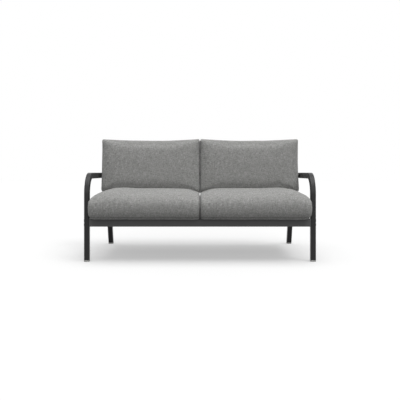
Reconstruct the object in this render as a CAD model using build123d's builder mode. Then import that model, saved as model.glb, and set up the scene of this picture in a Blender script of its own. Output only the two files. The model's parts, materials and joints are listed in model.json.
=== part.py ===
from build123d import *
from math import cos, radians, sin, tan
import os

# Patio loveseat, in millimetres. X runs along the seat, +Y to the back and +Z up.
# The origin is on the floor under the middle of the whole seat.
# A knock-down frame of coated tube carries four loose cushions.

# Overall sizes
overall_width = 1440
frame_depth = 780
cushion_overhang = 100
arm_height = 548.5
post_height = 722
rail_top_height = 268

# Slopes, in degrees
arm_slope = 2.1
rear_leg_rake = 20
back_lean = 8
right_angle = 90

# Bent tubes: the arm and front leg are one tube, and so are the rear leg and back post
tube_width = 32
tube_depth = 38
tube_corner = 5
tube_wall = 2
arm_bend_radius = 130
arm_tail = 32
post_width = 34
post_bend_height = 470
post_bend_radius = 150
arm_gap = 10

# Seat frame
rail_height = 50
rail_width = 25
rail_corner = 3
side_rail_width = 30
rear_rail_width = 20
brace_width = 25
seat_slat_width = 40
seat_slat_height = 12
slat_corner = 2.5
slat_wall = 1.5
slats_per_seat = 6

# Back frame
back_rail_height = 32
back_rail_depth = 20
back_slat_width = 30
back_slat_depth = 10
lower_rail_rise = 52
top_rail_drop = 14

# Glides, caps and their ribbed plugs
glide_height = 10
cap_thickness = 3
cap_edge = 1.2
plug_length = 18
plug_fit = 0.15
plug_web_depth = 1.2
plug_rib = 1.6
ribs_per_plug = 3

# Bolts and what they pass
leg_bolt_radius = 3
leg_bolt_length = 28
leg_bolt_head_radius = 5
leg_bolt_head = 6
leg_bolt_key = 2.9
leg_bolt_spacing = 26
arm_bolt_radius = 4
arm_bolt_length = 24
arm_bolt_head_radius = 6.5
arm_bolt_head = 8
arm_bolt_key = 3.5
key_depth = 3.5
bolt_clearance = 0.3
thread_fit = 0.05
access_radius = 7.5
cover_fit = 0.1
cover_rim = 1.5
cover_rim_thickness = 1
cover_stem = 4
rail_plug_length = 30
spacer_radius = 10
nut_radius = 5.5
nut_length = 16
nut_flange_radius = 8
nut_flange = 1
cut_overrun = 1

# Cushions
cushion_side_gap = 2
cushion_middle_gap = 1.5
rest_gap = 0.3
seat_thickness = 171
seat_rear_room = 225
seat_pull = 4
seat_corner = 46
back_thickness = 190
back_over_posts = 31
back_sink = 35
back_side_pull = 4
back_top_pull = 12
back_top_corner = 14
back_bottom_corner = 28
cover_thickness = 2
foam_fit = 0.3

# How the contours of a cushion grow rounder towards its crown
crown_swell_share = 0.13
crown_corner_share = 0.2
corner_limit_share = 0.42
seat_widest_level = 4
back_widest_level = 6

# Seat cushion contours from the floor side up: height, then how far the outer side, inner side, front
# and rear stand in, all as shares of the thickness
seat_level_shares = [
    (0.00, 0.100, 0.060, 0.250, 0.100),
    (0.05, 0.052, 0.030, 0.165, 0.052),
    (0.14, 0.018, 0.010, 0.080, 0.018),
    (0.28, 0.003, 0.002, 0.020, 0.003),
    (0.42, 0.000, 0.000, 0.000, 0.000),
    (0.56, 0.005, 0.002, 0.016, 0.005),
    (0.68, 0.022, 0.006, 0.062, 0.022),
    (0.77, 0.062, 0.018, 0.132, 0.062),
    (0.84, 0.130, 0.050, 0.225, 0.130),
    (0.895, 0.240, 0.130, 0.350, 0.240),
    (0.935, 0.400, 0.270, 0.510, 0.400),
    (0.963, 0.600, 0.470, 0.700, 0.600),
    (0.983, 0.830, 0.700, 0.920, 0.830),
    (0.995, 1.070, 0.940, 1.150, 1.070),
    (1.000, 1.300, 1.180, 1.380, 1.300),
]

# Back cushion contours from the rear face to the front: depth, then how far the sides, top and bottom
# stand in, all as shares of the thickness
back_level_shares = [
    (0.000, 0.100, 0.100, 0.240),
    (0.050, 0.052, 0.052, 0.195),
    (0.140, 0.018, 0.018, 0.150),
    (0.280, 0.003, 0.003, 0.100),
    (0.420, 0.000, 0.000, 0.055),
    (0.530, 0.000, 0.000, 0.033),
    (0.620, 0.000, 0.000, 0.018),
    (0.730, 0.006, 0.006, 0.006),
    (0.810, 0.024, 0.024, 0.024),
    (0.868, 0.062, 0.060, 0.060),
    (0.911, 0.125, 0.115, 0.115),
    (0.943, 0.215, 0.185, 0.185),
    (0.967, 0.330, 0.265, 0.265),
    (0.984, 0.470, 0.355, 0.355),
    (0.994, 0.630, 0.450, 0.450),
    (0.999, 0.800, 0.550, 0.550),
    (1.000, 0.900, 0.610, 0.610),
]

# Places worked out from the sizes
half_width = overall_width / 2
leg_inner_x = half_width - tube_width
post_outer_x = leg_inner_x - arm_gap
post_inner_x = post_outer_x - post_width
front_y = (cushion_overhang - frame_depth) / 2
rear_y = front_y + frame_depth
leg_y = front_y + tube_depth / 2
rail_back_y = front_y + rail_width
rail_mid_z = rail_top_height - rail_height / 2

# The rear leg and post: a raked line up from the foot, then a line that leans back
rake_slope = tan(radians(rear_leg_rake))
lean_slope = tan(radians(back_lean))
foot_y = rear_y - tube_depth / 2 / cos(radians(rear_leg_rake))
post_bend_y = foot_y - post_bend_height * rake_slope


def rear_leg_y(z):
    """Middle of the raked rear leg at a height."""
    return foot_y - z * rake_slope


# The arm: its bend starts upright and ends on the arm's slope
arm_slope_ratio = tan(radians(arm_slope))
arm_mid_radius = arm_bend_radius - tube_depth / 2
bend_centre_z = arm_height - arm_bend_radius
arm_corner_z = bend_centre_z + arm_mid_radius * tan(radians((right_angle + arm_slope) / 2))
rise_at_leg = arm_corner_z + leg_y * arm_slope_ratio
bolt_y = (post_bend_y + (rise_at_leg - post_bend_height) * lean_slope) / (1 + lean_slope * arm_slope_ratio)
bolt_z = rise_at_leg - bolt_y * arm_slope_ratio
tail_y = bolt_y + arm_tail
tail_z = rise_at_leg - tail_y * arm_slope_ratio

# The back plane holds the front faces of the posts, the back rails and the back slats
lean_up = Vector(0, sin(radians(back_lean)), cos(radians(back_lean)))
lean_front = Vector(0, -cos(radians(back_lean)), sin(radians(back_lean)))
back_origin = Vector(0, post_bend_y, post_bend_height) + lean_front * (tube_depth / 2)
back_plane = Plane(origin=back_origin, x_dir=(1, 0, 0), z_dir=lean_front)
post_top_rise = (post_height - post_bend_height) / cos(radians(back_lean))
lower_rail_mid = lower_rail_rise
top_rail_mid = post_top_rise - top_rail_drop - back_rail_height / 2

rear_rail_y = rear_leg_y(rail_mid_z)
rear_rail_front_y = rear_rail_y - rear_rail_width / 2
side_rail_inner_x = post_outer_x - side_rail_width

# Cushions stand between the legs and meet in the middle
seat_outer_x = leg_inner_x - cushion_side_gap
seat_inner_x = cushion_middle_gap
seat_front_y = front_y - cushion_overhang
seat_rear_y = rear_y - seat_rear_room
seat_base_z = rail_top_height + rest_gap
seat_crown_z = seat_base_z + seat_thickness
back_bottom_rise = (seat_crown_z - back_sink - back_origin.Z) / cos(radians(back_lean))
back_bottom_rise = back_bottom_rise - back_thickness / 2 * lean_slope
back_top_rise = post_top_rise + back_over_posts

sides = [("left", -1), ("right", 1)]
os.makedirs("parts", exist_ok=True)


def save(piece, name):
    """Label a finished piece and write it."""
    piece.part.label = name
    export_step(piece.part, f"parts/{name}.step")


def tube_section(width, depth, corner, wall):
    """Outline of a rounded rectangular tube and its bore."""
    RectangleRounded(width, depth, corner)
    RectangleRounded(width - 2 * wall, depth - 2 * wall, corner - wall, mode=Mode.SUBTRACT)


def slat_places(slat_width):
    """Middles of evenly spaced slats in both bays, between the brace and the side rails."""
    bay = side_rail_inner_x - brace_width / 2
    gap = (bay - slats_per_seat * slat_width) / (slats_per_seat + 1)
    first = brace_width / 2 + gap + slat_width / 2
    right = [first + i * (slat_width + gap) for i in range(slats_per_seat)]
    return [-x for x in reversed(right)] + right


def leg_bolt_places(x, z_dir):
    """Planes on the axes of the bolts that hold one end of the front rail."""
    y = front_y + rail_width / 2
    heights = [rail_mid_z - leg_bolt_spacing / 2, rail_mid_z + leg_bolt_spacing / 2]
    return [Plane(origin=(x, y, z), x_dir=(0, 1, 0), z_dir=z_dir) for z in heights]


def arm_bolt_place(x, z_dir):
    """Plane on the axis of the bolt that holds an arm to its upright."""
    return Plane(origin=(x, bolt_y, bolt_z), x_dir=(0, 1, 0), z_dir=z_dir)


def ribbed_plug(seat, width, depth, corner):
    """Ribbed plug that fits a tube's bore, going up from a plane across the tube."""
    bore_width = width - 2 * tube_wall - 2 * plug_fit
    bore_depth = depth - 2 * tube_wall - 2 * plug_fit
    rib_pitch = (plug_length - plug_rib) / (ribs_per_plug - 1)
    with BuildPart() as plug:
        with BuildSketch(seat):
            Rectangle(bore_width - 2 * plug_web_depth, bore_depth - 2 * plug_web_depth)
        extrude(amount=plug_length)
        for i in range(ribs_per_plug):
            with BuildSketch(seat.offset(i * rib_pitch)):
                RectangleRounded(bore_width, bore_depth, corner - tube_wall)
            extrude(amount=plug_rib)
    return plug.part


# Bent tubes and what closes their ends
for side, sign in sides:
    outward = (sign, 0, 0)
    arm_x = sign * (half_width - tube_width / 2)
    post_x = sign * (post_outer_x - post_width / 2)
    foot = Vector(arm_x, leg_y, glide_height)
    arm_corner = Vector(arm_x, leg_y, arm_corner_z)
    tail = Vector(arm_x, tail_y, tail_z)
    arm_direction = (tail - arm_corner).normalized()

    with BuildPart() as arm_leg:
        with BuildLine():
            FilletPolyline(foot, arm_corner, tail, radius=arm_mid_radius)
        with BuildSketch(Plane(origin=foot, x_dir=(1, 0, 0), z_dir=(0, 0, 1))):
            tube_section(tube_width, tube_depth, tube_corner, tube_wall)
        sweep()
        outer_x = sign * half_width
        with Locations(*leg_bolt_places(outer_x, outward), arm_bolt_place(outer_x, outward)):
            Hole(access_radius, tube_wall + cut_overrun)
        with Locations(*leg_bolt_places(sign * half_width, outward)):
            Hole(leg_bolt_radius + bolt_clearance, tube_width + cut_overrun)
        with Locations(arm_bolt_place(sign * half_width, outward)):
            Hole(arm_bolt_radius + bolt_clearance, tube_width + cut_overrun)
    save(arm_leg, f"{side}_arm_leg")

    arm_plug_seat = Plane(origin=tail, x_dir=(1, 0, 0), z_dir=-arm_direction)
    arm_plug = ribbed_plug(arm_plug_seat, tube_width, tube_depth, tube_corner)
    with BuildPart() as arm_end_cap:
        with BuildSketch(Plane(origin=tail, x_dir=(1, 0, 0), z_dir=arm_direction)):
            RectangleRounded(tube_width, tube_depth, tube_corner)
        extrude(amount=cap_thickness)
        cap_face = arm_end_cap.faces().sort_by(Axis(tail, arm_direction))[-1]
        fillet(cap_face.edges(), cap_edge)
        add(arm_plug)
    save(arm_end_cap, f"{side}_arm_end_cap")

    rake_up = Vector(0, -sin(radians(rear_leg_rake)), cos(radians(rear_leg_rake)))
    rear_foot = Vector(post_x, foot_y, 0) - rake_up * tube_depth
    post_bend = Vector(post_x, post_bend_y, post_bend_height)
    post_top = post_bend + lean_up * post_top_rise

    with BuildPart() as rear_upright:
        with BuildLine():
            FilletPolyline(rear_foot, post_bend, post_top, radius=post_bend_radius)
        with BuildSketch(Plane(origin=rear_foot, x_dir=(1, 0, 0), z_dir=rake_up)):
            tube_section(post_width, tube_depth, tube_corner, tube_wall)
        sweep()
        split(bisect_by=Plane.XY.offset(glide_height), keep=Keep.TOP)
        with Locations(arm_bolt_place(sign * post_outer_x, outward)):
            Hole(nut_radius + cover_fit, tube_wall + cut_overrun)
    save(rear_upright, f"{side}_rear_upright")

    post_plug_seat = Plane(origin=post_top, x_dir=(1, 0, 0), z_dir=-lean_up)
    post_plug = ribbed_plug(post_plug_seat, post_width, tube_depth, tube_corner)
    with BuildPart() as post_cap:
        with BuildSketch(Plane(origin=post_top, x_dir=(1, 0, 0), z_dir=lean_up)):
            RectangleRounded(post_width, tube_depth, tube_corner)
        extrude(amount=cap_thickness)
        cap_face = post_cap.faces().sort_by(Axis(post_top, lean_up))[-1]
        fillet(cap_face.edges(), cap_edge)
        add(post_plug)
    save(post_cap, f"{side}_post_cap")

    glide_plug = ribbed_plug(Plane(origin=foot), tube_width, tube_depth, tube_corner)
    with BuildPart() as front_glide:
        with BuildSketch(Plane(origin=(arm_x, leg_y, 0), x_dir=(1, 0, 0), z_dir=(0, 0, 1))):
            RectangleRounded(tube_width, tube_depth, tube_corner)
        extrude(amount=glide_height)
        floor_face = front_glide.faces().sort_by(Axis.Z)[0]
        chamfer(floor_face.edges(), cap_edge)
        add(glide_plug)
    save(front_glide, f"front_{side}_glide")

    glide_top = Vector(post_x, rear_leg_y(glide_height), glide_height)
    stem_height = tube_depth / 2 * rake_slope
    plug_seat = Plane(origin=glide_top, x_dir=(1, 0, 0), z_dir=rake_up).offset(stem_height)
    rear_plug = ribbed_plug(plug_seat, post_width, tube_depth, tube_corner)
    with BuildPart() as rear_glide:
        with BuildSketch(Plane(origin=rear_foot, x_dir=(1, 0, 0), z_dir=rake_up)):
            RectangleRounded(post_width, tube_depth, tube_corner)
        extrude(amount=2 * tube_depth)
        split(bisect_by=Plane.XY.offset(glide_height), keep=Keep.BOTTOM)
        split(bisect_by=Plane.XY, keep=Keep.TOP)
        with BuildSketch(plug_seat):
            stem_shrink = 2 * (tube_wall + plug_fit + plug_web_depth)
            Rectangle(post_width - stem_shrink, tube_depth - stem_shrink)
        extrude(amount=-stem_height)
        add(rear_plug)
    save(rear_glide, f"rear_{side}_glide")

# Front rail, a tube with a threaded block in each end
with BuildPart() as front_rail:
    rail_end = (-leg_inner_x, front_y + rail_width / 2, rail_mid_z)
    rail_start = Plane(origin=rail_end, x_dir=(0, 1, 0), z_dir=(1, 0, 0))
    with BuildSketch(rail_start):
        tube_section(rail_width, rail_height, rail_corner, tube_wall)
    extrude(amount=2 * leg_inner_x)
save(front_rail, "front_rail")

for side, sign in sides:
    with BuildPart() as rail_end_plug:
        rail_end = Vector(sign * leg_inner_x, front_y + rail_width / 2, rail_mid_z)
        with BuildSketch(Plane(origin=rail_end, x_dir=(0, 1, 0), z_dir=(-sign, 0, 0))):
            bore_shrink = 2 * (tube_wall + plug_fit)
            RectangleRounded(rail_width - bore_shrink, rail_height - bore_shrink, rail_corner - tube_wall)
        extrude(amount=rail_plug_length)
        with Locations(*leg_bolt_places(sign * leg_inner_x, (sign, 0, 0))):
            Hole(leg_bolt_radius + thread_fit, rail_plug_length)
    save(rail_end_plug, f"{side}_rail_end_plug")

# Seat frame behind the front rail
for side, sign in sides:
    with BuildPart() as side_rail:
        side_rail_x = sign * (post_outer_x - side_rail_width / 2)
        side_rail_start = (side_rail_x, rail_back_y, rail_mid_z)
        with BuildSketch(Plane(origin=side_rail_start, x_dir=(1, 0, 0), z_dir=(0, 1, 0))):
            tube_section(side_rail_width, rail_height, rail_corner, tube_wall)
        extrude(amount=rear_rail_y - rail_back_y)
        leg_front = Vector(0, -cos(radians(rear_leg_rake)), -sin(radians(rear_leg_rake)))
        leg_face_point = Vector(0, rear_rail_y, rail_mid_z) + leg_front * (tube_depth / 2)
        split(bisect_by=Plane(origin=leg_face_point, x_dir=(1, 0, 0), z_dir=leg_front), keep=Keep.TOP)
    save(side_rail, f"{side}_side_rail")

with BuildPart() as rear_rail:
    rear_start = Plane(origin=(-post_inner_x, rear_rail_y, rail_mid_z), x_dir=(0, 1, 0), z_dir=(1, 0, 0))
    with BuildSketch(rear_start):
        tube_section(rear_rail_width, rail_height, rail_corner, tube_wall)
    extrude(amount=2 * post_inner_x)
save(rear_rail, "rear_rail")

with BuildPart() as centre_brace:
    with BuildSketch(Plane(origin=(0, rail_back_y, rail_mid_z), x_dir=(1, 0, 0), z_dir=(0, 1, 0))):
        tube_section(brace_width, rail_height, rail_corner, tube_wall)
    extrude(amount=rear_rail_front_y - rail_back_y)
save(centre_brace, "centre_brace")

with BuildPart() as seat_slats:
    slat_z = rail_top_height - seat_slat_height / 2
    with BuildSketch(Plane(origin=(0, rail_back_y, slat_z), x_dir=(1, 0, 0), z_dir=(0, 1, 0))):
        with Locations(*[(x, 0) for x in slat_places(seat_slat_width)]):
            RectangleRounded(seat_slat_width, seat_slat_height, slat_corner)
            RectangleRounded(
                seat_slat_width - 2 * slat_wall,
                seat_slat_height - 2 * slat_wall,
                slat_corner - slat_wall,
                mode=Mode.SUBTRACT,
            )
    extrude(amount=rear_rail_front_y - rail_back_y)
save(seat_slats, "seat_slats")

# Back frame, set out on the back plane
for name, rise in [("back_lower_rail", lower_rail_mid), ("back_top_rail", top_rail_mid)]:
    with BuildPart() as back_rail:
        middle = back_origin + lean_up * rise - lean_front * (back_rail_depth / 2)
        start = middle - Vector(post_inner_x, 0, 0)
        with BuildSketch(Plane(origin=start, x_dir=lean_up, z_dir=(1, 0, 0))):
            tube_section(back_rail_height, back_rail_depth, rail_corner, tube_wall)
        extrude(amount=2 * post_inner_x)
    save(back_rail, name)

with BuildPart() as back_slats:
    slat_start = back_origin + lean_up * (lower_rail_mid + back_rail_height / 2)
    slat_start = slat_start - lean_front * (back_slat_depth / 2)
    with BuildSketch(Plane(origin=slat_start, x_dir=(1, 0, 0), z_dir=lean_up)):
        with Locations(*[(x, 0) for x in slat_places(back_slat_width)]):
            RectangleRounded(back_slat_width, back_slat_depth, slat_corner)
            RectangleRounded(
                back_slat_width - 2 * slat_wall,
                back_slat_depth - 2 * slat_wall,
                slat_corner - slat_wall,
                mode=Mode.SUBTRACT,
            )
    extrude(amount=top_rail_mid - lower_rail_mid - back_rail_height)
save(back_slats, "back_slats")

# Fasteners
with BuildPart() as leg_bolts:
    for side, sign in sides:
        for place in leg_bolt_places(sign * (leg_inner_x + tube_wall), (sign, 0, 0)):
            with BuildSketch(place):
                Circle(leg_bolt_head_radius)
            extrude(amount=leg_bolt_head)
            with BuildSketch(place):
                Circle(leg_bolt_radius)
            extrude(amount=-leg_bolt_length)
            with BuildSketch(place.offset(leg_bolt_head)):
                RegularPolygon(leg_bolt_key, 6)
            extrude(amount=-key_depth, mode=Mode.SUBTRACT)
save(leg_bolts, "leg_bolts")

with BuildPart() as arm_bolts:
    for side, sign in sides:
        place = arm_bolt_place(sign * (leg_inner_x + tube_wall), (sign, 0, 0))
        with BuildSketch(place):
            Circle(arm_bolt_head_radius)
        extrude(amount=arm_bolt_head)
        with BuildSketch(place):
            Circle(arm_bolt_radius)
        extrude(amount=-arm_bolt_length)
        with BuildSketch(place.offset(arm_bolt_head)):
            RegularPolygon(arm_bolt_key, 6)
        extrude(amount=-key_depth, mode=Mode.SUBTRACT)
save(arm_bolts, "arm_bolts")

with BuildPart() as rivet_nuts:
    for side, sign in sides:
        place = arm_bolt_place(sign * post_outer_x, (sign, 0, 0))
        with BuildSketch(place):
            Circle(nut_flange_radius)
        extrude(amount=nut_flange)
        with BuildSketch(place):
            Circle(nut_radius)
        extrude(amount=-nut_length)
        with Locations(place.offset(nut_flange)):
            Hole(arm_bolt_radius + thread_fit, nut_flange + nut_length)
save(rivet_nuts, "rivet_nuts")

for side, sign in sides:
    with BuildPart() as arm_spacer:
        with BuildSketch(arm_bolt_place(sign * (post_outer_x + nut_flange), (sign, 0, 0))):
            Circle(spacer_radius)
            Circle(arm_bolt_radius + bolt_clearance, mode=Mode.SUBTRACT)
        extrude(amount=arm_gap - nut_flange)
    save(arm_spacer, f"{side}_arm_spacer")

with BuildPart() as bolt_covers:
    for side, sign in sides:
        outward = (sign, 0, 0)
        outer_x = sign * half_width
        for place in [*leg_bolt_places(outer_x, outward), arm_bolt_place(outer_x, outward)]:
            with BuildSketch(place):
                Circle(access_radius + cover_rim)
            extrude(amount=cover_rim_thickness)
            with BuildSketch(place):
                Circle(access_radius - cover_fit)
            extrude(amount=-cover_stem)
save(bolt_covers, "bolt_covers")


# Cushions: contours stacked from one face to the crown, each with four long arcs and rounded corners
def cushion_form(contours, widest, step):
    """Loft through contours, up to the widest and on to the crown. A step over 1 leaves contours out.

    Pulls draw the bottom, right, top and left sides in, or out where they are negative.
    """
    with BuildPart() as form:
        for stretch in (contours[:widest + 1:step], contours[widest::step]):
            for plane, (low_x, high_x), (low_y, high_y), pulls, (low_corner, high_corner) in stretch:
                mid_x = (low_x + high_x) / 2
                mid_y = (low_y + high_y) / 2
                corner_limit = corner_limit_share * min(high_x - low_x, high_y - low_y)
                bottom_pull, right_pull, top_pull, left_pull = pulls
                with BuildSketch(plane) as section:
                    with BuildLine():
                        ThreePointArc((low_x, low_y), (mid_x, low_y + bottom_pull), (high_x, low_y))
                        ThreePointArc((high_x, low_y), (high_x - right_pull, mid_y), (high_x, high_y))
                        ThreePointArc((high_x, high_y), (mid_x, high_y - top_pull), (low_x, high_y))
                        ThreePointArc((low_x, high_y), (low_x + left_pull, mid_y), (low_x, low_y))
                    make_face()
                    fillet(section.vertices().sort_by(Axis.Y)[:2], min(low_corner, corner_limit))
                    fillet(section.vertices().sort_by(Axis.Y)[-2:], min(high_corner, corner_limit))
            loft(ruled=step > 1)
    return form.part


def seat_form(sign, inset, step=1):
    """Seat cushion drawn in by an inset on every side. Its front rolls over, its inner side stands full."""
    contours = []
    for height_share, outer_share, inner_share, front_share, rear_share in seat_level_shares:
        outer_x = sign * (seat_outer_x - inset - outer_share * seat_thickness)
        inner_x = sign * (seat_inner_x + inset + inner_share * seat_thickness)
        front = seat_front_y + inset + front_share * seat_thickness
        rear = seat_rear_y - inset - rear_share * seat_thickness
        pull = seat_pull - crown_swell_share * outer_share * seat_thickness
        corner = seat_corner - inset + crown_corner_share * outer_share * seat_thickness
        plane = Plane.XY.offset(seat_base_z + inset + height_share * (seat_thickness - 2 * inset))
        contours.append((plane, sorted((outer_x, inner_x)), (front, rear), [pull] * 4, (corner, corner)))
    return cushion_form(contours, seat_widest_level, step)


def back_form(sign, inset, step=1):
    """Back cushion drawn in by an inset on every side, laid up from its rear face on the back plane."""
    contours = []
    for depth_share, side_share, top_share, bottom_share in back_level_shares:
        outer_x = sign * (seat_outer_x - inset - side_share * back_thickness)
        inner_x = sign * (seat_inner_x + inset + side_share * back_thickness)
        bottom = back_bottom_rise + inset + bottom_share * back_thickness
        top = back_top_rise - inset - top_share * back_thickness
        swell = crown_swell_share * side_share * back_thickness
        side_pull = back_side_pull - swell
        pulls = [side_pull, side_pull, back_top_pull - swell, side_pull]
        growth = crown_corner_share * top_share * back_thickness - inset
        corners = (back_bottom_corner + growth, back_top_corner + growth)
        plane = back_plane.offset(rest_gap + inset + depth_share * (back_thickness - 2 * inset))
        contours.append((plane, sorted((outer_x, inner_x)), (bottom, top), pulls, corners))
    return cushion_form(contours, back_widest_level, step)


for side, sign in sides:
    seat_outside = seat_form(sign, 0)
    seat_inside = seat_form(sign, cover_thickness, step=2)
    seat_core = seat_form(sign, cover_thickness + foam_fit, step=2)
    with BuildPart() as seat_cover:
        add(seat_outside)
        add(seat_inside, mode=Mode.SUBTRACT)
    save(seat_cover, f"{side}_seat_cushion_cover")

    with BuildPart() as seat_foam:
        add(seat_core)
    save(seat_foam, f"{side}_seat_cushion_foam")

    back_outside = back_form(sign, 0)
    back_inside = back_form(sign, cover_thickness, step=2)
    back_core = back_form(sign, cover_thickness + foam_fit, step=2)
    under_cover = seat_form(sign, -rest_gap)
    under_bore = seat_form(sign, -rest_gap - cover_thickness)
    under_foam = seat_form(sign, -rest_gap - cover_thickness - foam_fit)
    with BuildPart() as back_bore:
        add(back_inside)
        add(under_bore, mode=Mode.SUBTRACT)

    with BuildPart() as back_cover:
        add(back_outside)
        add(under_cover, mode=Mode.SUBTRACT)
        add(back_bore.part, mode=Mode.SUBTRACT)
    save(back_cover, f"{side}_back_cushion_cover")

    with BuildPart() as back_foam:
        add(back_core)
        add(under_foam, mode=Mode.SUBTRACT)
    save(back_foam, f"{side}_back_cushion_foam")
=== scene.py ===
"""Patio loveseat: filled cushions, woven fabric, coated tube and a plain studio.

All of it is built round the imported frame. Lengths are in metres. +X runs to the viewer's right,
+Y to the back and +Z up, as in the part.
"""

import json
import math

import bmesh
import bpy
import numpy as np
from mathutils import Matrix, Quaternion, Vector, noise
from mathutils.bvhtree import BVHTree

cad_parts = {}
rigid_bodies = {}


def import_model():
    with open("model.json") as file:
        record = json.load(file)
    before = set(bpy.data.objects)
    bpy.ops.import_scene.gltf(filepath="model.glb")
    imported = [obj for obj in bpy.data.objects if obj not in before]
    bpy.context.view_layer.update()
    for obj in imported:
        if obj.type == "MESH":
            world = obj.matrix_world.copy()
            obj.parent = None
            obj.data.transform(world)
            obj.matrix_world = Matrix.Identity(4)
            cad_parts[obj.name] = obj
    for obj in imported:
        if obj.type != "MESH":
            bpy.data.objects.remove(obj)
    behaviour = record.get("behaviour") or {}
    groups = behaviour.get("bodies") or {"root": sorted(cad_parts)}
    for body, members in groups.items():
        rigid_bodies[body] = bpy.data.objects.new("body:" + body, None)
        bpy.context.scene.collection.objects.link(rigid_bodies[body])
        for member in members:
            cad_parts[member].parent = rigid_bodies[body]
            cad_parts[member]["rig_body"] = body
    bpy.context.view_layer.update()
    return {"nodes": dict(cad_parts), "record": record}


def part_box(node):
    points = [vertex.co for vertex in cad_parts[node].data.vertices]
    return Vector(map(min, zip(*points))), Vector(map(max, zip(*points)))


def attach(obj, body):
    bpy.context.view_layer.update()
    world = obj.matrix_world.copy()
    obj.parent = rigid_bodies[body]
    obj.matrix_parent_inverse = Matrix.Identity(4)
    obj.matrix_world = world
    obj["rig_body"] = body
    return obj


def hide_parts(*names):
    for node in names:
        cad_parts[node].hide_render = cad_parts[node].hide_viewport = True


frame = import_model()


def leaning_ways(lean):
    """The ways that a cushion leaning back faces and rises."""
    return (np.array((0.0, -math.cos(lean), math.sin(lean))),
            np.array((0.0, math.sin(lean), math.cos(lean))))


# ---- Sizes, shares and ways

# How the cushions lie: the way each kind faces and rises, and the way that its seam's plane faces
back_lean = math.radians(8)
front_way, up_way = leaning_ways(back_lean)
cushion_ways = {"seat": leaning_ways(0.0), "back": (front_way, up_way)}
seam_ways = {"seat": cushion_ways["seat"][1], "back": front_way}
seat_seam_rise = 0.013      # height of the seat cushions' seam over their bottoms

# The covers, filled with air
merge_gap = 1e-5            # corners of the CAD mesh nearer than this are one point
least_length = 1e-9         # keeps a division from meeting zero
mesh_sizes = {"seat": 0.008, "back": 0.006}    # the even mesh that the air pressure works on
start_inset = 0.002         # how far each cover starts inside its CAD skin
filling_pressure = 4.0
filling_slack = 0.02        # share by which a cover is cut larger than the shape it starts from
filling_frames = 20
filling_reach = 0.0048      # no point moves further than this while the cover fills
filling_draw = 0.0008       # nor further in than this, where a seam pulls
seam_hold = 0.006           # points this near to a seam line are held while the cover fills

# Soft uneven places in the filling, other ones in each cushion
fullness_size = 0.16
fullness_depth = 0.0022
small_fullness_share = 0.35
fullness_steps = (7.3, 3.1, 5.7)

# Where the cushions meet the frame and each other
contact_gap = 0.0006        # what stays between a cushion and what it leans on
middle_gap = 0.0002         # what stays between a cushion's middle face and the middle
middle_press = 0.009        # how far the fullest places would pass the middle if left free
end_swell = 0.0014          # how far the outer ends stand out from their CAD skin
roll_width = 0.0055         # how far the front and top edges of a middle face roll back from it
roll_depth = 0.045          # how deep behind the front the two cushions touch again
roll_wall_share = 0.35      # of that depth, over which the edge stands fully back
roll_search = 0.03          # the front and top lines are read from points this near to the middle
roll_step = 0.01            # in bands this wide
top_roll_paces = {"seat": 1, "back": 3.3}    # how much sooner they touch again under the top

# The front of the back cushions
crown_full = 1.09           # how much deeper it is in its middle
crown_drawn = 0.95          # and towards its edges
crown_low_share = 0.55      # the lower half stays fuller, down to the seat

# How the cushions give where they bear on each other. Each run is where it starts and is full.
rear_give = 0.008           # under the back cushions
rear_give_run = (-0.22, 0.03)
inner_give = 0.006          # at the middle of the seat
inner_give_run = (0.0, 0.12)
outer_give = 0.006          # at the seat's two ends
outer_give_run = (0.56, 0.67)
shoulder_rise = 0.006       # and how much fuller the cushions stay before those ends
shoulder_start_run = (0.40, 0.54)
shoulder_end_run = (0.58, 0.66)
give_start_run = (0.30, 0.41)    # heights between which all this sets in
give_end_run = (0.47, 0.66)      # and dies away

# The foot of a back cushion, pressed on to the seat
foot_press = 0.014
foot_run = (0.02, 0.13)     # heights over the foot between which the press dies away
foot_end_run = (0.54, 0.66)
foot_height = 0.12          # what is lower than this over the foot may meet the seat
foot_search = 0.03          # and looks this far for its nearest place

# Seams and the lie of the weave
seam_width = 0.0035
seam_depth = 0.0022
yarn_pitch = 0.0017         # from one yarn to the next
cloth_corner = 0.05         # rounding that the weave follows from a cushion's front to its back
end_facing = 0.78           # faces that look more sideways than this take the weave flat

# Zips in the rear of the cushions
zip_heights = {"seat": 0.075, "back": 0.060}    # over the CAD cover's lowest point
zip_share = 0.72            # of the cushion's width
zip_steps = 60
zip_search = 0.1            # how far behind the cushion the search for its cover starts
tape_width = 0.011
tape_thickness = 0.0007
tape_lift = 0.0005
tape_edge_share = 0.4       # of a tooth's width, from the zip's line to a tape's inner edge
tape_slit_share = 0.3       # what lies nearer than this to the line is cut out between the tapes
tooth_pitch = 0.0034
tooth_width = 0.0042
tooth_size = (tooth_pitch * 0.62, 0.0014, tooth_width)
tooth_lift = 0.0009
tooth_lean = 25             # in degrees, to one side and the other in turn
slider_size = (0.011, 0.0034, 0.0085)
slider_edge = 0.0008
slider_inset = 0.016        # from the end of the zip
slider_lift = 0.0022
pull_size = (0.024, 0.0011, 0.0062)
pull_edge = 0.0005
pull_inset = 0.030
pull_lift = 0.0046

# Welds of the frame
weld_radius = 0.0024
slat_weld = 0.0016
slat_corner = 0.003
rail_depth = 0.020          # of the rails of the back frame
slat_depth = 0.010          # and of its slats
ripple_step_share = 0.8     # from one ripple to the next, of their radius
ripple_height_share = 0.75
ripple_spread = 0.12        # by which the ripples differ in size
ripple_pattern = 300        # and how fast that changes along a weld

# Camera, in front of the legs at the height that the photograph was taken from
camera_distance = 3.80
camera_height = 0.694
camera_lens = 55.15
camera_shift = (0.0, -0.125)

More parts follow.
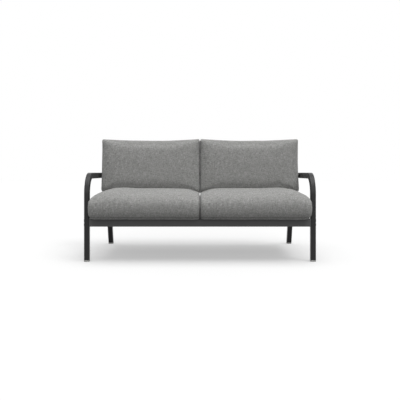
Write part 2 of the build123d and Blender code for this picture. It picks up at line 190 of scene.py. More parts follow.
# Studio. The floor and the sky are white to the eye and greyer as givers of light.
floor_size = 9.0
floor_giving, floor_seen, floor_lift = 0.25, 0.40, 0.41
sky_giving, sky_seen = 0.40, 1.0
soft_lights = (             # name, the place it shines from, its spread in degrees and its strength
    ("top_light", (0.1, -0.5, 3.0), 60.0, 2.6),
    ("right_light", (1.5, -1.2, 2.9), 22.0, 0.8),
    ("front_light", (0.3, -3.4, 1.6), 40.0, 0.7),
)


# ---- Meshes

def link(piece):
    """Put an object in the scene."""
    bpy.context.scene.collection.objects.link(piece)
    return piece


def points_of(mesh):
    """The mesh's points as an array of rows."""
    flat = np.empty(len(mesh.vertices) * 3)
    mesh.vertices.foreach_get("co", flat)
    return flat.reshape(-1, 3)


def normals_of(mesh):
    """The directions that the mesh's points face, as an array of rows."""
    flat = np.empty(len(mesh.vertices) * 3)
    mesh.vertex_normals.foreach_get("vector", flat)
    return flat.reshape(-1, 3)


def move_points(mesh, rows):
    """Put the mesh's points at new places."""
    mesh.vertices.foreach_set("co", np.asarray(rows, dtype=float).ravel())
    mesh.update()


def mesh_from(form, name):
    """A new mesh of what a bmesh holds."""
    mesh = bpy.data.meshes.new(name)
    form.to_mesh(mesh)
    form.free()
    return mesh


def shade_smooth(mesh):
    """Shade a mesh without facets."""
    for face in mesh.polygons:
        face.use_smooth = True


def settle(piece):
    """Make what the modifiers show the piece's own mesh, and take the modifiers off."""
    shown = piece.evaluated_get(bpy.context.evaluated_depsgraph_get())
    mesh = bpy.data.meshes.new_from_object(shown)
    piece.modifiers.clear()
    piece.data = mesh
    return piece


def piece_from(mesh, material, body):
    """A new piece from a mesh, on its body and in its slot."""
    mesh.materials.append(material)
    piece = link(bpy.data.objects.new(mesh.name, mesh))
    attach(piece, body)
    return piece


def islands(form):
    """The separate shells of a bmesh, as lists of points."""
    waiting = set(form.verts)
    found = []
    while waiting:
        edge = [waiting.pop()]
        shell = list(edge)
        while edge:
            near = {e.other_vert(v) for v in edge for e in v.link_edges} & waiting
            waiting -= near
            shell.extend(near)
            edge = list(near)
        found.append(shell)
    return found


def obstacle(*meshes):
    """What a cushion can't enter, ready to be met by rays."""
    form = bmesh.new()
    for mesh in meshes:
        form.from_mesh(mesh)
    tree = BVHTree.FromBMesh(form)
    form.free()
    return tree


def ramp(values, start, end):
    """0 before the start and 1 after the end, smooth between them."""
    share = np.clip((values - start) / (end - start), 0.0, 1.0)
    return share * share * (3 - 2 * share)


# ---- Cushions: the skin of each CAD cover, filled with air, pressed into place and sewn

def outer_skin(name, cover, mesh_size):
    """A new piece with a cover's outer skin, without the bore for the foam, in an even mesh."""
    form = bmesh.new()
    form.from_mesh(frame["nodes"][cover].data)
    bmesh.ops.remove_doubles(form, verts=form.verts, dist=merge_gap)
    outer = set(max(islands(form), key=lambda shell: max(v.co.z for v in shell)))
    bmesh.ops.delete(form, geom=[v for v in form.verts if v not in outer], context="VERTS")
    piece = link(bpy.data.objects.new(name, mesh_from(form, name)))
    even = piece.modifiers.new("even_mesh", "REMESH")
    even.mode = "VOXEL"
    even.voxel_size = mesh_size
    return settle(piece)


def start_cushion(side, kind, seam_place):
    """A cushion's skin drawn in a little, and how far each point is from the seam's plane."""
    piece = outer_skin(f"{side}_{kind}_cushion", f"{side}_{kind}_cushion_cover", mesh_sizes[kind])
    rows = points_of(piece.data) - start_inset * normals_of(piece.data)
    move_points(piece.data, rows)
    return piece, np.abs((rows - seam_place) @ seam_ways[kind])


def fill(pieces, seam_distances):
    """Blow the covers up together: pressure fills them while their seams are held."""
    for piece, distance in zip(pieces, seam_distances):
        held = piece.vertex_groups.new(name="seam")
        held.add([int(i) for i in np.flatnonzero(distance < seam_hold)], 1.0, "REPLACE")
        cloth = piece.modifiers.new("filling", "CLOTH")
        cloth.settings.use_pressure = True
        cloth.settings.uniform_pressure_force = filling_pressure
        cloth.settings.shrink_min = -filling_slack
        cloth.settings.effector_weights.gravity = 0.0
        cloth.settings.vertex_group_mass = "seam"
        cloth.point_cache.frame_start = 1
        cloth.point_cache.frame_end = filling_frames
    for step in range(1, filling_frames + 1):
        bpy.context.scene.frame_set(step)
    for piece in pieces:
        settle(piece)
        piece.vertex_groups.clear()
    bpy.context.scene.frame_set(1)


def room_ahead(places, ways, hard, furthest):
    """How far each point may go along its way before it meets something hard."""
    room = np.full(len(places), furthest)
    for index, (place, way) in enumerate(zip(places, ways)):
        met = hard.ray_cast(Vector(place), Vector(way), furthest + contact_gap)
        if met[0] is not None:
            room[index] = max(met[3] - contact_gap, 0.0)
    return room


def uneven(places, seed):
    """How far the filling stands out or in at each place: soft, and different in each cushion."""
    shift = Vector([seed * step for step in fullness_steps])
    small_size = fullness_size * small_fullness_share
    wide = [noise.noise(Vector(p) / fullness_size + shift) for p in places]
    small = [noise.noise(Vector(p) / small_size + shift) for p in places]
    return fullness_depth * (np.array(wide) + small_fullness_share * np.array(small))


def cap_filling(piece, start, ways, hard, side, outermost, seed):
    """Cap the filling where the frame stands, and press the cushions together in the middle."""
    moved = points_of(piece.data) - start
    outward = np.sum(moved * ways, axis=1)
    moved += ways * (np.maximum(outward, -filling_draw) - outward)[:, None]
    length = np.maximum(np.linalg.norm(moved, axis=1), least_length)
    room = room_ahead(start, ways, hard, filling_reach + start_inset)
    reach = np.minimum(filling_reach, room)
    rows = start + moved * np.minimum(1.0, reach / length)[:, None]
    free = np.clip(room / filling_reach, 0.0, 1.0) ** 2
    rows += ways * (uneven(start, seed) * free)[:, None]
    across = rows[:, 0] * side
    share = (across - across.min()) / (across.max() - across.min())
    across = share * (outermost + end_swell) - (1 - share) * middle_press
    rows[:, 0] = np.maximum(across, middle_gap) * side
    move_points(piece.data, rows)


def crown(piece):
    """Round the front of a back cushion: full in the middle and drawn in towards its edges."""
    rows = points_of(piece.data)
    local = rows - (rows.min(0) + rows.max(0)) / 2
    ahead, up = local @ front_way, local @ up_way
    ahead -= (ahead.max() + ahead.min()) / 2
    share = np.clip(ahead / ahead.max(), 0.0, 1.0)
    across = local[:, 0] / local[:, 0].max()
    along = np.where(up < 0, up * crown_low_share, up) / up.max()
    fullness = np.clip(1 - across ** 2, 0, 1) * np.clip(1 - along ** 2, 0, 1)
    growth = (crown_drawn + (crown_full - crown_drawn) * fullness - 1) * share
    move_points(piece.data, rows + front_way * (ahead * growth)[:, None])


def give(piece):
    """Let a cushion give where the cushions bear on each other.

    All four follow one field, so they stay in touch.
    """
    rows = points_of(piece.data)
    across, back, height = np.abs(rows[:, 0]), rows[:, 1], rows[:, 2]
    near = ramp(height, *give_start_run) * (1 - ramp(height, *give_end_run))
    drop = rear_give * ramp(back, *rear_give_run)
    drop += (inner_give * (1 - ramp(across, *inner_give_run))
             + outer_give * ramp(across, *outer_give_run))
    shoulder = ramp(across, *shoulder_start_run)
    drop -= shoulder_rise * shoulder * (1 - ramp(across, *shoulder_end_run))
    rows[:, 2] -= drop * near
    move_points(piece.data, rows)


def stand_on(piece, other):
    """Press the foot of a cushion on to the one below, and flatten it where they meet."""
    hard = obstacle(other.data)
    rows = points_of(piece.data)
    lowest = rows[:, 2].min()
    foot = 1 - ramp(rows[:, 2], lowest + foot_run[0], lowest + foot_run[1])
    rows[:, 2] -= foot_press * foot * (1 - ramp(np.abs(rows[:, 0]), *foot_end_run))
    for index in np.flatnonzero(rows[:, 2] < rows[:, 2].min() + foot_height):
        place, way, _, _ = hard.find_nearest(Vector(rows[index]), foot_search)
        if place is not None and (Vector(rows[index]) - place).dot(way) < contact_gap:
            rows[index] = place + way * contact_gap
    move_points(piece.data, rows)


def part_edges(piece, ahead_way, top_way, top_pace):
    """Let the front and top edges of the cushion's middle face roll away from its neighbour."""
    rows = points_of(piece.data)
    ahead, up = rows @ ahead_way, rows @ top_way
    near = np.abs(rows[:, 0]) < roll_search
    depth = np.full(len(rows), np.inf)
    for along, out, pace in ((up, ahead, 1), (ahead, up, top_pace)):
        steps = np.arange(along.min(), along.max(), roll_step)
        place = np.digitize(along, steps)
        furthest = np.full(len(steps) + 1, -np.inf)
        np.maximum.at(furthest, place[near], out[near])
        depth = np.minimum(depth, (furthest[place] - out) * pace)
    closing = ramp(depth, roll_depth * roll_wall_share, roll_depth)
    least = middle_gap + roll_width * (1 - closing)
    rows[:, 0] = np.sign(rows[:, 0]) * np.maximum(np.abs(rows[:, 0]), least)
    move_points(piece.data, rows)


def smooth_out(piece):
    """One subdivision, and smooth shading."""
    finer = piece.modifiers.new("finer", "SUBSURF")
    finer.levels = 1
    finer.render_levels = 1
    settle(piece)
    shade_smooth(piece.data)


def wrap_length(across, up, half_across, half_up):
    """How far round a rounded section a point lies, from the middle of the front.

    Also how far a quarter of the way round is.
    """
    core_across = half_across - cloth_corner
    core_up = half_up - cloth_corner
    past_across = np.abs(across) - core_across
    past_up = np.abs(up) - core_up
    quarter = core_up + cloth_corner * math.pi / 2 + core_across
    in_corner = (past_across > 0) & (past_up > 0)
    angle = np.arctan2(np.maximum(past_up, 0.0), np.maximum(past_across, least_length))
    on_side = np.where(past_across >= past_up, np.abs(up), quarter - np.abs(across))
    return np.where(in_corner, core_up + cloth_corner * angle, on_side), quarter


def cloth_map(piece, ahead_way, rise_way):
    """Lay the weave on a cushion: round it from front to back, and flat on its two ends."""
    mesh = piece.data
    rows = points_of(mesh)
    middle = (rows.min(0) + rows.max(0)) / 2
    loops = np.empty(len(mesh.loops), dtype=int)
    mesh.loops.foreach_get("vertex_index", loops)
    faces = len(mesh.polygons)
    counts = np.empty(faces, dtype=int)
    mesh.polygons.foreach_get("loop_total", counts)
    face_normals = np.empty(faces * 3)
    mesh.polygons.foreach_get("normal", face_normals)
    centres = np.empty(faces * 3)
    mesh.polygons.foreach_get("center", centres)
    owner = np.repeat(np.arange(faces), counts)
    local = rows - middle
    across = local @ ahead_way
    up = local @ rise_way
    half_across = (across.max() - across.min()) / 2
    half_up = (up.max() - up.min()) / 2
    run, quarter = wrap_length(across, up, half_across, half_up)
    face_local = centres.reshape(-1, 3) - middle
    face_up = np.sign(face_local @ rise_way)[owner]
    behind = (face_local @ ahead_way < 0)[owner]
    front_run = run[loops] * np.sign(up[loops])
    rear_run = face_up * (2 * quarter - front_run * face_up)
    on_end = (np.abs(face_normals.reshape(-1, 3)[:, 0]) > end_facing)[owner]
    u = np.where(on_end, across[loops], local[loops, 0])
    v = np.where(on_end, up[loops], np.where(behind, rear_run, front_run))
    layer = mesh.uv_layers.new(name="cloth")
    layer.data.foreach_set("uv", np.column_stack((u, v)).ravel())


def sew(piece, seam_place, seam_way):
    """Draw the cover in along its seam, and keep how near each point is to it, for the shade that
    the fabric paints along the seam.
    """
    rows = points_of(piece.data)
    nearness = np.exp(-(((rows - seam_place) @ seam_way) / seam_width) ** 2)
    move_points(piece.data, rows - seam_depth * nearness[:, None] * normals_of(piece.data))
    near = piece.data.attributes.new("seam", "FLOAT", "POINT")
    near.data.foreach_set("value", nearness)


def seam_places():
    """A point on the plane of each cushion's seam."""
    places = {}
    for kind in ("seat", "back"):
        for side in ("left", "right"):
            low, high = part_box(f"{side}_{kind}_cushion_cover")
            place = (low + high) / 2
            if kind == "seat":
                place.z = low.z + seat_seam_rise
            places[side, kind] = np.array(place)
    return places


def fill_cushions(seams):
    """The four cushions, filled between the frame and each other."""
    made = {key: start_cushion(*key, place) for key, place in seams.items()}
    start = {key: points_of(piece.data) for key, (piece, _) in made.items()}
    ways = {key: normals_of(piece.data) for key, (piece, _) in made.items()}
    fill([piece for piece, _ in made.values()], [distance for _, distance in made.values()])
    tubes = [node.data for node in frame["nodes"].values() if node["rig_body"] == "frame"]
    for seed, (side, kind) in enumerate(made, start=1):
        key = side, kind
        below = [made[side, "seat"][0].data] if kind == "back" else []
        low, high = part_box(f"{side}_{kind}_cushion_cover")
        cap_filling(made[key][0], start[key], ways[key], obstacle(*below, *tubes),
                    -1 if side == "left" else 1, max(abs(low.x), abs(high.x)), seed)
    return {key: piece for key, (piece, _) in made.items()}


def make_cushions():
    """The two seat cushions and the two back cushions, with their zips."""
    seams = seam_places()
    made = fill_cushions(seams)
    for (side, kind), piece in made.items():
        if kind == "back":
            crown(piece)
        give(piece)
        if kind == "back":
            stand_on(piece, made[side, "seat"])
        part_edges(piece, *cushion_ways[kind], top_roll_paces[kind])
        smooth_out(piece)
        cloth_map(piece, *cushion_ways[kind])
        sew(piece, seams[side, kind], seam_ways[kind])
        piece.data.materials.append(cushion_fabric)
        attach(piece, f"{side}_{kind}_cushion")
        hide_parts(f"{side}_{kind}_cushion_cover", f"{side}_{kind}_cushion_foam")
        zip_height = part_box(f"{side}_{kind}_cushion_cover")[0].z + zip_heights[kind]
        zip_up(piece, f"{side}_{kind}_cushion", zip_height)


# ---- Zips in the rear of the cushions, and the welds of the frame

def small_block(size, edge=None):
    """The mesh of one small block, with softened edges where an edge is given."""
    form = bmesh.new()
    bmesh.ops.create_cube(form, size=1.0)
    bmesh.ops.scale(form, verts=form.verts, vec=size)
    if edge:
        bmesh.ops.bevel(form, geom=form.edges, affect="EDGES", offset=edge, segments=2,
                        profile=0.5, material=-1)
    return mesh_from(form, "small_block")


def weld_ripple():
    """The mesh of one ripple of a weld, with a radius of one."""
    form = bmesh.new()
    bmesh.ops.create_uvsphere(form, u_segments=6, v_segments=4, radius=1.0)
    return mesh_from(form, "weld_ripple")


def repeated(name, copies, material, body):
    """A new piece from small meshes, each repeated at its places, on its body and in its slot."""
    form = bmesh.new()
    for small, places in copies:
        for place in places:
            copy = small.copy()
            copy.transform(place)
            form.from_mesh(copy)
            bpy.data.meshes.remove(copy)
        bpy.data.meshes.remove(small)
    return piece_from(mesh_from(form, name), material, body)


def zip_up(cushion, body, height):
    """A closed zip across the rear of a cushion: tapes, teeth, and a slider with its pull."""
    rows = points_of(cushion.data)
    low, high = rows.min(0), rows.max(0)
    hard = obstacle(cushion.data)
    half = (high[0] - low[0]) * zip_share / 2
    middle = (high[0] + low[0]) / 2

    def on_cover(x, z, lift):
        start = Vector((x, high[1] + zip_search, z))
        place, way, _, _ = hard.ray_cast(start, Vector((0, -1, 0)))
        return place + way * lift, way

    def at(x, lift, lean=0):
        place, way = on_cover(x, height, lift)
        turn = way.to_track_quat("Y", "Z") @ Quaternion((0, 1, 0), math.radians(lean))
        return Matrix.LocRotScale(place, turn, None)

    tapes = bmesh.new()
    bmesh.ops.create_grid(tapes, x_segments=zip_steps, y_segments=3, size=1.0)
    for point in tapes.verts:
        side = 1 if point.co.y > 0 else -1
        reach = tape_width if abs(point.co.y) > 0.5 else tooth_width * tape_edge_share
        point.co = on_cover(middle + half * point.co.x, height + side * reach, tape_lift)[0]
    slit = [face for face in tapes.faces
            if abs(face.calc_center_median().z - height) < tooth_width * tape_slit_share]
    bmesh.ops.delete(tapes, geom=slit, context="FACES")
    bmesh.ops.recalc_face_normals(tapes, faces=tapes.faces)
    bmesh.ops.solidify(tapes, geom=tapes.faces[:], thickness=tape_thickness)
    piece_from(mesh_from(tapes, f"{cushion.name}_zip_tape"), zip_tape, body)

    teeth = [at(middle - half + tooth_pitch * (index + 0.5), tooth_lift,
                tooth_lean if index % 2 else -tooth_lean)
             for index in range(int(2 * half / tooth_pitch))]
    repeated(f"{cushion.name}_zip", [
        (small_block(tooth_size), teeth),
        (small_block(slider_size, slider_edge), [at(middle + half - slider_inset, slider_lift)]),
        (small_block(pull_size, pull_edge), [at(middle + half - pull_inset, pull_lift)]),
    ], cap_plastic, body)


def slat_boxes(name):
    """The lowest and highest corners of each slat in a node, from left to right."""
    form = bmesh.new()
    form.from_mesh(frame["nodes"][name].data)
    bmesh.ops.remove_doubles(form, verts=form.verts, dist=merge_gap)
    found = []
    for slat in islands(form):
        rows = np.array([v.co for v in slat])
        found.append((Vector(rows.min(0)), Vector(rows.max(0))))
    form.free()
    return sorted(found, key=lambda box: box[0].x)


def bead(start, end, radius):
    """Places of the small overlapping ripples of a weld along a straight joint."""
    run = end - start
    count = max(int(run.length / (radius * ripple_step_share)), 1)
    turn = run.to_track_quat("Z", "Y")
    places = [start + run * index / count for index in range(count + 1)]
    sizes = [radius * (1 + ripple_spread * noise.noise(p * ripple_pattern)) for p in places]
    return [Matrix.LocRotScale(p, turn, Vector((s, s, s * ripple_height_share)))
            for p, s in zip(places, sizes)]


def bead_round(centre, first, second):
    """A weld round a rectangular tube end: first and second are half its sides."""
    around = ((-1, -1), (1, -1), (1, 1), (-1, 1))
    corners = [centre + first * a + second * b for a, b in around]
    sides = zip(corners, corners[1:] + corners[:1])
    return [place for start, end in sides for place in bead(start, end, weld_radius)]


def leaning_height(low, high, depth):
    """How tall a rectangular tube of the back frame is along the lean, from its upright box."""
    return (high.z - low.z - depth * math.sin(back_lean)) / math.cos(back_lean)


def seat_frame_welds():
    """Where the rear rail meets the uprights, and the rails, brace and slats meet each other."""
    places = []
    low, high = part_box("rear_rail")
    middle, half = (low + high) / 2, (high - low) / 2
    for x in (low.x, high.x):
        places += bead_round(Vector((x, middle.y, middle.z)),
                             Vector((0, half.y, 0)), Vector((0, 0, half.z)))
    for name in ("left_side_rail", "right_side_rail", "centre_brace"):
        low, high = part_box(name)
        middle, half = (low + high) / 2, (high - low) / 2
        for y in (low.y, high.y) if name == "centre_brace" else (low.y,):
            places += bead_round(Vector((middle.x, y, middle.z)),
                                 Vector((half.x, 0, 0)), Vector((0, 0, half.z)))
    for low, high in slat_boxes("seat_slats"):
        for y in (low.y, high.y):
            places += bead(Vector((low.x + slat_corner, y, low.z)),
                           Vector((high.x - slat_corner, y, low.z)), slat_weld)
    return places


def back_frame_welds():
    """Where the back rails meet the uprights, and the back slats meet the back rails."""
    places = []
    for name in ("back_lower_rail", "back_top_rail"):
        low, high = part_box(name)
        middle = (low + high) / 2
        tall = leaning_height(low, high, rail_depth)
        for x in (low.x, high.x):
            places += bead_round(Vector((x, middle.y, middle.z)),
                                 Vector(front_way) * rail_depth / 2, Vector(up_way) * tall / 2)
    for low, high in slat_boxes("back_slats"):
        middle = (low + high) / 2
        tall = leaning_height(low, high, slat_depth)
        reach = Vector(((high.x - low.x) / 2 - slat_corner, 0, 0))
        for end, face in ((-1, -1), (-1, 1), (1, -1), (1, 1)):
            place = (middle + Vector(up_way) * end * tall / 2
                     + Vector(front_way) * face * slat_depth / 2)
            places += bead(place - reach, place + reach, slat_weld)
    return places


def weld_frame():
    """The weld beads of the seat frame and of the back frame."""
    for name, places in (("seat_frame_welds", seat_frame_welds()),
                         ("back_frame_welds", back_frame_welds())):
        piece = repeated(name, [(weld_ripple(), places)], tube_coat, "frame")
        shade_smooth(piece.data)


# ---- Materials

def put(tree, kind, sockets=None, **settings):
    """A node in a tree. Each socket takes a value, or the output that feeds it."""
    node = tree.nodes.new(kind)
    for name, value in settings.items():
        setattr(node, name, value)
    for socket, value in (sockets or {}).items():
        if isinstance(value, bpy.types.NodeSocket):
            tree.links.new(value, node.inputs[socket])
        else:
            node.inputs[socket].default_value = value
    return node


def calc(tree, operation, first, second=0.0, third=0.0):
    """The output of one Math node."""
    sockets = {0: first, 1: second, 2: third}
    return put(tree, "ShaderNodeMath", sockets, operation=operation).outputs[0]


def spread_over(tree, value, start, end, low=0.0, high=1.0):
    """A value between low and high, mapped to run from start to end."""
    return put(tree, "ShaderNodeMapRange", {"Value": value, "From Min": low, "From Max": high,
                                            "To Min": start, "To Max": end}).outputs[0]


def new_group(name, inputs, outputs):
    """An empty node group with its sockets, and its two end nodes."""
    tree = bpy.data.node_groups.new(name, "ShaderNodeTree")
    for label, kind, value in inputs:
        socket = tree.interface.new_socket(name=label, in_out="INPUT", socket_type=kind)
        if value is not None:
            socket.default_value = value
    for label, kind in outputs:
        tree.interface.new_socket(name=label, in_out="OUTPUT", socket_type=kind)
    return tree, tree.nodes.new("NodeGroupInput"), tree.nodes.new("NodeGroupOutput")


def woven_yarns():
    """Plain weave: each yarn passes over the next and under the one after.

    Its colour changes along it: slowly along a yarn, and from one yarn to another.
    """
    yarn_round, yarn_low = 0.6, 0.4       # a yarn's height falls to the low share where it dives
    yarn_step, along_yarn = 5.37, 0.09    # how fast the colour changes from yarn to yarn and along
    weft_shift = 9.1                      # keeps the weft's colours apart from the warp's
    tree, given, result = new_group(
        "woven_yarns",
        [("Cloth", "NodeSocketVector", None), ("Yarns per metre", "NodeSocketFloat", 600.0)],
        [("Height", "NodeSocketFloat"), ("Tone", "NodeSocketFloat")],
    )
    scaled = put(tree, "ShaderNodeVectorMath", {0: given.outputs["Cloth"],
                                                "Scale": given.outputs["Yarns per metre"]},
                 operation="SCALE")
    parts = put(tree, "ShaderNodeSeparateXYZ", {0: scaled.outputs[0]})
    u, v = parts.outputs["X"], parts.outputs["Y"]
    row_u = calc(tree, "FLOOR", u)
    row_v = calc(tree, "FLOOR", v)
    over = calc(tree, "FLOORED_MODULO", calc(tree, "ADD", row_u, row_v), 2.0)

    def rounded(place):
        return calc(tree, "SINE", calc(tree, "MULTIPLY", calc(tree, "FRACT", place), math.pi))

    def yarn(own, crossing):
        arch = calc(tree, "MULTIPLY_ADD", crossing, yarn_round, yarn_low)
        return calc(tree, "MULTIPLY", own, arch)

    def tone_at(x, y, z=0.0):
        place = put(tree, "ShaderNodeCombineXYZ", {"X": x, "Y": y, "Z": z})
        return put(tree, "ShaderNodeTexNoise",
                   {"Vector": place.outputs[0], "Scale": 1.0, "Detail": 2.0}).outputs[0]

    round_u, round_v = rounded(u), rounded(v)
    height = put(tree, "ShaderNodeMix",
                 {"Factor": over, 2: yarn(round_v, round_u), 3: yarn(round_u, round_v)})
    warp_tone = tone_at(calc(tree, "MULTIPLY", row_u, yarn_step),
                        calc(tree, "MULTIPLY", v, along_yarn))
    weft_tone = tone_at(calc(tree, "MULTIPLY", u, along_yarn),
                        calc(tree, "MULTIPLY", row_v, yarn_step), weft_shift)
    tone = put(tree, "ShaderNodeMix", {"Factor": over, 2: weft_tone, 3: warp_tone})
    tree.links.new(height.outputs[0], result.inputs["Height"])
    tree.links.new(tone.outputs[0], result.inputs["Tone"])
    return tree


def fine_grain():
    """The small unevenness of a sprayed or moulded surface, as a height.

    With it come slow changes from place to place, for its colour and roughness.
    """
    patches_per_metre = 14.0
    tree, given, result = new_group(
        "fine_grain",
        [("Place", "NodeSocketVector", None), ("Grains per metre", "NodeSocketFloat", 900.0)],
        [("Height", "NodeSocketFloat"), ("Patches", "NodeSocketFloat")],
    )
    grains = put(tree, "ShaderNodeTexNoise",
                 {"Vector": given.outputs["Place"], "Scale": given.outputs["Grains per metre"],
                  "Detail": 1.0})
    patches = put(tree, "ShaderNodeTexNoise",
                  {"Vector": given.outputs["Place"], "Scale": patches_per_metre, "Detail": 3.0})
    tree.links.new(grains.outputs[0], result.inputs["Height"])
    tree.links.new(patches.outputs[0], result.inputs["Patches"])
    return tree


def new_material(name):
    """An empty material: itself, its tree and its shader."""
    material = bpy.data.materials.new(name)
    material.use_nodes = True
    tree = material.node_tree
    return material, tree, tree.nodes["Principled BSDF"]


def woven_fabric(weave):
    """Grey melange of the cushion covers: dark, middle and light yarns, matt with a soft bloom, and
    painted shade where the yarns dive and along the seams.
    """
    yarn_colours = (        # each after its place among the yarns' tones
        (0.30, (0.125, 0.125, 0.120, 1)),
        (0.50, (0.245, 0.245, 0.238, 1)),
        (0.70, (0.40, 0.40, 0.39, 1)),
    )
    mottles_per_metre = 170.0
    seam_shade = 0.35
    yarn_height = 0.0005
    material, tree, shader = new_material("cushion_fabric")
    cloth = put(tree, "ShaderNodeUVMap", uv_map="cloth")
    yarns = put(tree, "ShaderNodeGroup", node_tree=weave)
    tree.links.new(cloth.outputs[0], yarns.inputs["Cloth"])
    yarns.inputs["Yarns per metre"].default_value = 1 / yarn_pitch
    tones = put(tree, "ShaderNodeValToRGB", {0: yarns.outputs["Tone"]})
    stops = tones.color_ramp.elements
    stops.new(0.5)
    for stop, (place, yarn_colour) in zip(stops, yarn_colours):
        stop.position, stop.color = place, yarn_colour
    mottle = put(tree, "ShaderNodeTexNoise",
                 {"Vector": cloth.outputs[0], "Scale": mottles_per_metre, "Detail": 3.0})
    mottle_tone = spread_over(tree, mottle.outputs[0], 0.94, 1.06, 0.3, 0.7)
    # Painted shade: the yarns are darker where they dive under the crossing ones, as in the shade
    # between them.
    shade = spread_over(tree, yarns.outputs["Height"], 0.62, 1.04, 0.0, 0.7)
    seam = put(tree, "ShaderNodeAttribute", attribute_name="seam")
    # Painted shade: the fabric is darker along its seams, as in the shade of their creases.
    seam_painted_shade = calc(tree, "MULTIPLY_ADD", seam.outputs["Fac"], -seam_shade, 1.0)
    tone = calc(tree, "MULTIPLY", mottle_tone, calc(tree, "MULTIPLY", shade, seam_painted_shade))
    colour = put(tree, "ShaderNodeVectorMath", {0: tones.outputs[0], "Scale": tone},
                 operation="SCALE")
    tree.links.new(colour.outputs[0], shader.inputs["Base Color"])
    bump = put(tree, "ShaderNodeBump", {"Height": yarns.outputs["Height"],
                                        "Distance": yarn_height, "Strength": 0.7})
    tree.links.new(bump.outputs[0], shader.inputs["Normal"])
    tree.links.new(spread_over(tree, yarns.outputs["Tone"], 0.98, 0.82), shader.inputs["Roughness"])
    shader.inputs["Specular IOR Level"].default_value = 0.25
    shader.inputs["Sheen Weight"].default_value = 0.12
    shader.inputs["Sheen Roughness"].default_value = 0.5
    return material


def grained(name, colour, roughness, spread, grains_per_metre, grain_height,
            metallic=0.0, gloss=0.35):
    """A plain finish with fine grain: its colour and roughness change a little over it."""
    colour_spread = 0.10
    material, tree, shader = new_material(name)
    place = put(tree, "ShaderNodeTexCoord")
    surface = put(tree, "ShaderNodeGroup", node_tree=grain)
    tree.links.new(place.outputs["Object"], surface.inputs["Place"])
    surface.inputs["Grains per metre"].default_value = grains_per_metre
    patches = surface.outputs["Patches"]
    dark = tuple(c * (1 - colour_spread) for c in colour) + (1,)
    light = tuple(c * (1 + colour_spread) for c in colour) + (1,)
    tone = put(tree, "ShaderNodeMix", {"Factor": patches, 6: dark, 7: light}, data_type="RGBA")
    tree.links.new(tone.outputs[2], shader.inputs["Base Color"])
    rough = spread_over(tree, patches, roughness - spread, roughness + spread, 0.3, 0.7)
    tree.links.new(rough, shader.inputs["Roughness"])
    bump = put(tree, "ShaderNodeBump", {"Height": surface.outputs["Height"],
                                        "Distance": grain_height, "Strength": 0.5})
    tree.links.new(bump.outputs[0], shader.inputs["Normal"])
    shader.inputs["Metallic"].default_value = metallic
    shader.inputs["Specular IOR Level"].default_value = gloss
    return material


def seen_directly(tree):
    """1 where the camera sees a surface itself, in a gloss or through glass, and 0 for light."""
    path = put(tree, "ShaderNodeLightPath")
    gloss = calc(tree, "MAXIMUM", path.outputs["Is Glossy Ray"],
                 path.outputs["Is Transmission Ray"])
    return calc(tree, "MAXIMUM", path.outputs["Is Camera Ray"], gloss)


cushion_fabric = woven_fabric(woven_yarns())
grain = fine_grain()
tube_coat = grained("charcoal_powder_coat", (0.018, 0.018, 0.0184), roughness=0.34, spread=0.05,
                    grains_per_metre=700.0, grain_height=0.0002, gloss=0.20)
# The front rail's coat is the tube's charcoal coat painted lighter: painted light, standing in for
# the light that the cushions' overhang keeps from it.
rail_coat_painted_light = grained("charcoal_coat_painted_light", (0.078, 0.078, 0.0785), roughness=0.50, spread=0.05,
                    grains_per_metre=700.0, grain_height=0.0002, gloss=0.24)
bare_metal = grained("bare_aluminium", (0.62, 0.63, 0.64), roughness=0.38, spread=0.06,
                     grains_per_metre=1500.0, grain_height=0.00005, metallic=1.0)
cap_plastic = grained("black_cap_plastic", (0.024, 0.024, 0.025), roughness=0.55, spread=0.04,
                      grains_per_metre=1800.0, grain_height=0.0001)
glide_plastic = grained("pale_glide_plastic", (0.36, 0.36, 0.35), roughness=0.50, spread=0.04,
                        grains_per_metre=1800.0, grain_height=0.0001)
zip_tape = grained("zip_tape", (0.09, 0.09, 0.088), roughness=0.85, spread=0.05,
                   grains_per_metre=2200.0, grain_height=0.0002, gloss=0.2)
bolt_steel = grained("bolt_steel", (0.55, 0.55, 0.56), roughness=0.32, spread=0.05,
                     grains_per_metre=1200.0, grain_height=0.00004, metallic=1.0)
finishes = {
    "coated_tube": tube_coat, "raw_aluminium": bare_metal, "cap": cap_plastic,
    "glide": glide_plastic, "steel": bolt_steel, "fabric": cushion_fabric, "foam": cap_plastic,
}


def dress_frame():
    """Give every CAD node the finish of its slot, and the front rail the tube's coat painted
    lighter: painted light against the shade that the cushions above cast on it.
    """
    for part in frame["record"]["subparts"]:
        for place in frame["nodes"][part["node"]].material_slots:
            place.material = finishes[part["material_slot"]]
    # the front rail gets the lighter copy of the coat: painted light
    for place in frame["nodes"]["front_rail"].material_slots:
        place.material = rail_coat_painted_light


# ---- Studio

def grey(level):
    """A plain grey."""
    return level, level, level, 1


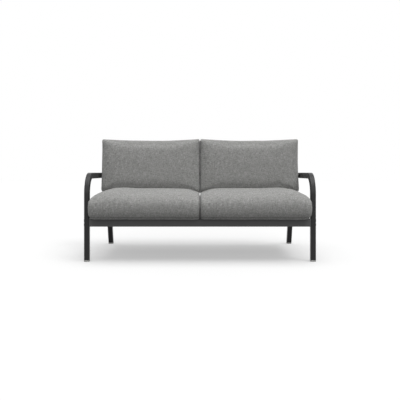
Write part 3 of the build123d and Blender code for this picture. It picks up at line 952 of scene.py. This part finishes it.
def white_floor():
    """A white floor that keeps the seat's shadow."""
    form = bmesh.new()
    bmesh.ops.create_grid(form, x_segments=1, y_segments=1, size=floor_size)
    mesh = mesh_from(form, "floor")
    material, tree, shader = new_material("pale_floor")
    seen = seen_directly(tree)
    colour = put(tree, "ShaderNodeMix",
                 {"Factor": seen, 6: grey(floor_giving), 7: grey(floor_seen)}, data_type="RGBA")
    tree.links.new(colour.outputs[2], shader.inputs["Base Color"])
    shader.inputs["Roughness"].default_value = 0.9
    shader.inputs["Specular IOR Level"].default_value = 0.0
    shader.inputs["Emission Color"].default_value = grey(1)
    lift = calc(tree, "MULTIPLY", seen, floor_lift)
    tree.links.new(lift, shader.inputs["Emission Strength"])
    mesh.materials.append(material)
    floor = link(bpy.data.objects.new("floor", mesh))


def even_sky():
    """An even white sky."""
    world = bpy.data.worlds.new("sky")
    world.use_nodes = True
    bpy.context.scene.world = world
    tree = world.node_tree
    background = tree.nodes["Background"]
    background.inputs["Color"].default_value = grey(1)
    strength = spread_over(tree, seen_directly(tree), sky_giving, sky_seen)
    tree.links.new(strength, background.inputs["Strength"])


def soft_light(name, place, spread, strength):
    """Even light from the side of a place, spread wide, as from a large soft box far away."""
    lamp = bpy.data.lights.new(name, "SUN")
    lamp.angle = math.radians(spread)
    lamp.energy = strength
    box = link(bpy.data.objects.new(name, lamp))
    box.location = place
    box.rotation_euler = (-Vector(place)).to_track_quat("-Z", "Y").to_euler()


def studio():
    """The floor, the sky, the lights and the camera."""
    white_floor()
    even_sky()
    for light in soft_lights:
        soft_light(*light)
    camera = bpy.data.cameras.new("camera")
    camera.lens = camera_lens
    camera.shift_x, camera.shift_y = camera_shift
    stand = link(bpy.data.objects.new("camera", camera))
    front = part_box("front_left_glide")[0].y
    stand.location = (0.0, front - camera_distance, camera_height)
    stand.rotation_euler = (math.radians(90), 0.0, 0.0)
    bpy.context.scene.camera = stand
    bpy.context.scene.view_settings.view_transform = "Standard"


make_cushions()
weld_frame()
dress_frame()
studio()
bpy.context.view_layer.update()
